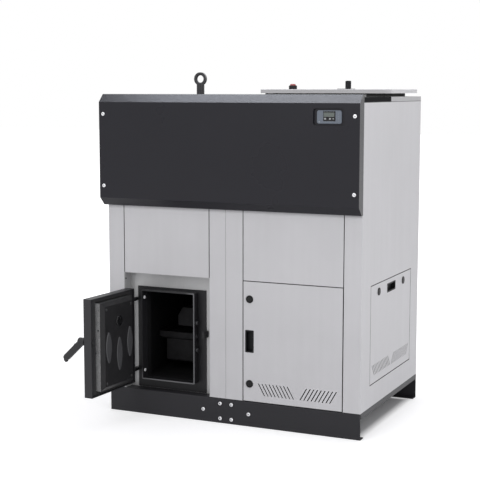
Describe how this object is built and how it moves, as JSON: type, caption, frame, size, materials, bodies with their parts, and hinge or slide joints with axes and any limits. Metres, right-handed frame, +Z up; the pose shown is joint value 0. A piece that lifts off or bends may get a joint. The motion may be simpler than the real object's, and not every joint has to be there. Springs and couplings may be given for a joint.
{
  "type": "pellet boiler",
  "caption": "Free-standing pellet boiler: silver casing, charcoal header, open fire door with burner inside, hopper module with lid, auger and service doors.",
  "frame": {"origin": "on the floor, in the middle of the front foot flange, on the casing's centre line", "axes": "+X to the boiler's right (the hopper module), +Y to its back, +Z up"},
  "size_m": [1.1054, 1.1103, 1.378],
  "materials": {
    "casing_paint": "silver powder coat with a fine speckle",
    "header_paint": "charcoal powder coat, fine texture",
    "base_paint": "charcoal powder coat, semi matt",
    "zinc_screws": "bright zinc plate",
    "niche_sheet": "galvanised sheet",
    "boiler_steel": "heat resistant grey paint, sooty inside",
    "frame_paint": "dark grey heat resistant paint",
    "eye_steel": "forged and blackened",
    "door_paint": "dark grey heat resistant paint",
    "door_board": "pressed insulation board, matt",
    "door_plate": "pressed steel, blackened by heat and soot",
    "rope_seal": "braided glass rope",
    "sight_glass": "round sight glass in a thin ring",
    "handle_plastic": "black moulded lever",
    "burner_steel": "stainless sheet, slightly heat tinted",
    "fan_paint": "black paint",
    "impeller_metal": "cast and tumbled",
    "feed_steel": "plain steel",
    "motor_paint": "dark grey enamel",
    "hopper_sheet": "galvanised sheet",
    "seal_rubber": "black sponge rubber",
    "controller_grey": "grey blue moulding, fine texture",
    "controller_black": "smoked window",
    "key_plastic": "grey key caps",
    "pull_plastic": "black moulding",
    "lock_metal": "black coated die casting",
    "lock_core_metal": "black coated die casting",
    "knob_plastic": "black moulding",
    "button_red": "red cap"
  },
  "bodies": {
    "boiler": {"boiler_outer_side_panel": "casing_paint", "boiler_inner_side_panel": "casing_paint", "hopper_inner_side_panel": "casing_paint", "hopper_outer_side_panel": "casing_paint", "boiler_front_panel": "casing_paint", "hopper_front_panel": "casing_paint", "hopper_rear_top_cover": "casing_paint", "rear_panels": "casing_paint", "header_fascia": "header_paint", "boiler_top_cover": "header_paint", "hopper_front_top_cover": "header_paint", "boiler_base_frame": "base_paint", "hopper_base_frame": "base_paint", "base_bolts": "zinc_screws", "header_screws": "zinc_screws", "door_frame_screws": "zinc_screws", "service_door_hinges": "zinc_screws", "niche_surround": "niche_sheet", "boiler_body": "boiler_steel", "cleaning_cover": "boiler_steel", "turbulators": "boiler_steel", "flue_spigot": "boiler_steel", "door_frame": "frame_paint", "lifting_eye": "eye_steel", "burner_body": "burner_steel", "burner_grate": "burner_steel", "burner_hood": "burner_steel", "burner_fan_housing": "fan_paint", "auger_tube": "feed_steel", "gear_motor": "motor_paint", "hopper": "hopper_sheet", "hopper_seal": "seal_rubber", "controller_face": "controller_grey", "controller_window": "controller_black"},
    "fire_door": {"fire_door_pan": "door_paint", "fire_door_seal": "rope_seal", "fire_door_insulation": "door_board", "fire_door_inner_plate": "door_plate", "fire_door_screws": "zinc_screws", "fire_door_sight_glass": "sight_glass"},
    "fire_door_handle": {"fire_door_handle": "handle_plastic"},
    "service_door": {"service_door": "casing_paint", "service_door_pull": "pull_plastic", "service_lock_housings": "lock_metal"},
    "service_lock_upper": {"service_lock_upper": "lock_core_metal"},
    "service_lock_lower": {"service_lock_lower": "lock_core_metal"},
    "side_door": {"side_door": "casing_paint", "side_door_pull": "pull_plastic", "side_lock_housings": "lock_metal"},
    "side_lock_front": {"side_lock_front": "lock_core_metal"},
    "side_lock_rear": {"side_lock_rear": "lock_core_metal"},
    "hopper_lid": {"hopper_lid": "casing_paint", "lid_fittings": "knob_plastic"},
    "lid_knob": {"lid_knob": "knob_plastic"},
    "lid_button": {"lid_button": "button_red"},
    "key_left": {"key_left": "key_plastic"},
    "key_middle": {"key_middle": "key_plastic"},
    "key_right": {"key_right": "key_plastic"},
    "auger_screw": {"auger_screw": "feed_steel"},
    "fan_impeller": {"burner_fan_impeller": "impeller_metal"}
  },
  "joints": [
    {"name": "fire_door_hinge", "type": "hinge", "parent": "boiler", "child": "fire_door", "pos_m": [-0.4385, -0.036, 0.325], "axis": [0, 0, 1], "range_deg": [-26.5, 93.5]},
    {"name": "fire_door_handle_turn", "type": "hinge", "parent": "fire_door", "child": "fire_door_handle", "pos_m": [-0.45672, -0.33394, 0.35], "axis": [-0.9981, 0.061, 0], "range_deg": [0, 90]},
    {"name": "service_door_hinge", "type": "hinge", "parent": "boiler", "child": "service_door", "pos_m": [0.461, -0.0145, 0.33875], "axis": [0, 0, 1], "range_deg": [0, 110]},
    {"name": "service_lock_upper_turn", "type": "hinge", "parent": "service_door", "child": "service_lock_upper", "pos_m": [0.0855, -0.02, 0.50545], "axis": [0, 1, 0], "range_deg": [0, 90]},
    {"name": "service_lock_lower_turn", "type": "hinge", "parent": "service_door", "child": "service_lock_lower", "pos_m": [0.0855, -0.02, 0.17205], "axis": [0, -1, 0], "range_deg": [0, 90]},
    {"name": "side_door_tilt", "type": "hinge", "parent": "boiler", "child": "side_door", "pos_m": [0.5388, 0.3405, 0.1897], "axis": [0, 1, 0], "range_deg": [0, 25]},
    {"name": "side_lock_front_turn", "type": "hinge", "parent": "side_door", "child": "side_lock_front", "pos_m": [0.54, 0.18, 0.5375], "axis": [1, 0, 0], "range_deg": [0, 90]},
    {"name": "side_lock_rear_turn", "type": "hinge", "parent": "side_door", "child": "side_lock_rear", "pos_m": [0.54, 0.4895, 0.5375], "axis": [-1, 0, 0], "range_deg": [0, 90]},
    {"name": "hopper_lid_hinge", "type": "hinge", "parent": "boiler", "child": "hopper_lid", "pos_m": [0.27, 0.652, 1.292], "axis": [-1, 0, 0], "range_deg": [0, 85]},
    {"name": "lid_knob_turn", "type": "hinge", "parent": "hopper_lid", "child": "lid_knob", "pos_m": [0.347, 0.345, 1.311], "axis": [0, 0, -1], "range_deg": [0, 90]},
    {"name": "lid_button_press", "type": "slide", "parent": "hopper_lid", "child": "lid_button", "axis": [0, 0, -1], "range_m": [0, 0.004], "stiffness_N_per_m": 600, "springref_m": -0.001},
    {"name": "auger_turn", "type": "hinge", "parent": "boiler", "child": "auger_screw", "pos_m": [0.235, 0.28, 0.52], "axis": [1, 0, 0], "continuous": true},
    {"name": "fan_turn", "type": "hinge", "parent": "boiler", "child": "fan_impeller", "pos_m": [0.196, 0.28, 0.207], "axis": [0, 1, 0], "continuous": true},
    {"name": "key_left_press", "type": "slide", "parent": "boiler", "child": "key_left", "axis": [0, 1, 0], "range_m": [0, 0.0008], "stiffness_N_per_m": 500, "springref_m": -0.0002},
    {"name": "key_middle_press", "type": "slide", "parent": "boiler", "child": "key_middle", "axis": [0, 1, 0], "range_m": [0, 0.0008], "stiffness_N_per_m": 500, "springref_m": -0.0002},
    {"name": "key_right_press", "type": "slide", "parent": "boiler", "child": "key_right", "axis": [0, 1, 0], "range_m": [0, 0.0008], "stiffness_N_per_m": 500, "springref_m": -0.0002}
  ]
}
